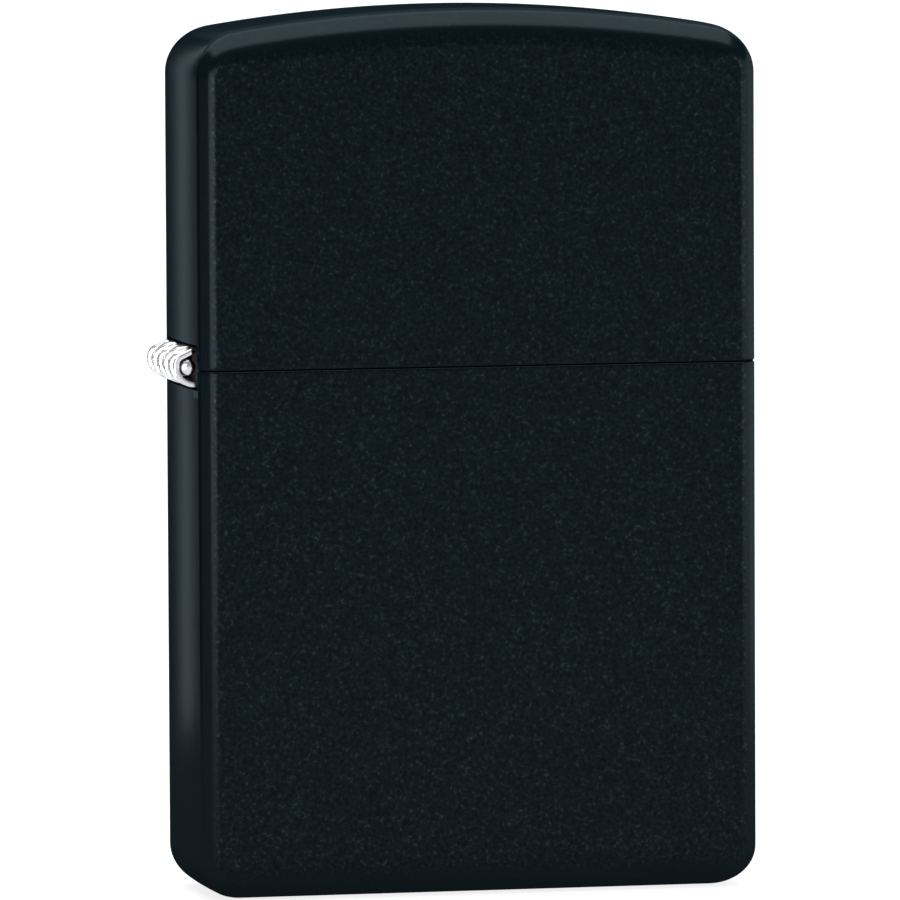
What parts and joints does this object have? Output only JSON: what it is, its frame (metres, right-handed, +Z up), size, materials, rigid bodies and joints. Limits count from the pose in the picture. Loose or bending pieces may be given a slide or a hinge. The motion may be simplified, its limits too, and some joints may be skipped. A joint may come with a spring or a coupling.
{
  "type": "pocket lighter",
  "caption": "Closed flip-top windproof pocket lighter: thin rounded metal case and lid on a barrel hinge, with a complete inner burner unit that works under the lid.",
  "frame": {"origin": "middle of the flat base that the lighter stands on; the hinge overhangs on -X, so this is not the middle of the whole box", "axes": "+Z up along the tall case, +X to the right seen from the front with the hinge on -X, -Y out of the front face"},
  "size_m": [0.0383, 0.0126, 0.0576],
  "materials": {
    "coating": "matte",
    "hinge_chrome": "polished",
    "insert_nickel": "satin",
    "brass": "satin",
    "flint_alloy": "matte",
    "spring_steel": "satin",
    "wheel_steel": "satin",
    "rivet_steel": "polished",
    "cam_steel": "satin",
    "wick_cotton": "matte",
    "packing_cotton": "matte",
    "felt": "matte"
  },
  "bodies": {
    "case": {"case_bottom": "coating", "hinge_case_leaf": "hinge_chrome", "hinge_pin": "hinge_chrome", "insert_body": "insert_nickel", "windscreen": "insert_nickel", "flint_tube": "brass", "flint_screw": "brass", "flint_spring": "spring_steel", "wheel_rivet": "rivet_steel", "cam_rivet": "rivet_steel", "cam_spring": "spring_steel", "cam_spring_rivet": "rivet_steel", "wick": "wick_cotton", "packing_wad_1": "packing_cotton", "packing_wad_2": "packing_cotton", "packing_wad_3": "packing_cotton", "packing_wad_4": "packing_cotton", "packing_wad_5": "packing_cotton", "felt_pad": "felt"},
    "lid": {"case_lid": "coating", "hinge_lid_leaf": "hinge_chrome"},
    "spark_wheel": {"spark_wheel": "wheel_steel"},
    "cam": {"cam_lever": "cam_steel"},
    "flint_stack": {"flint": "flint_alloy", "spring_plunger": "brass"}
  },
  "joints": [
    {"name": "lid_hinge", "type": "hinge", "parent": "case", "child": "lid", "pos_m": [-0.01896, 0, 0.03462], "axis": [0, -1, 0], "range_deg": [0, 115]},
    {"name": "cam_pivot", "type": "hinge", "parent": "case", "child": "cam", "pos_m": [-0.0124, 0, 0.039], "axis": [0, 1, 0], "range_deg": [0, 23]},
    {"name": "spark_wheel_spin", "type": "hinge", "parent": "case", "child": "spark_wheel", "pos_m": [0.0083, 0, 0.0413], "axis": [0, 1, 0], "continuous": true},
    {"name": "flint_feed", "type": "slide", "parent": "case", "child": "flint_stack", "axis": [0, 0, 1], "range_m": [-0.001, 0], "stiffness_N_per_m": 120, "springref_m": 0.004, "deforming": ["flint_spring"]}
  ],
  "couplings": [
    {"joint": "cam_pivot", "follows": "lid_hinge", "ratio": 0.2}
  ]
}
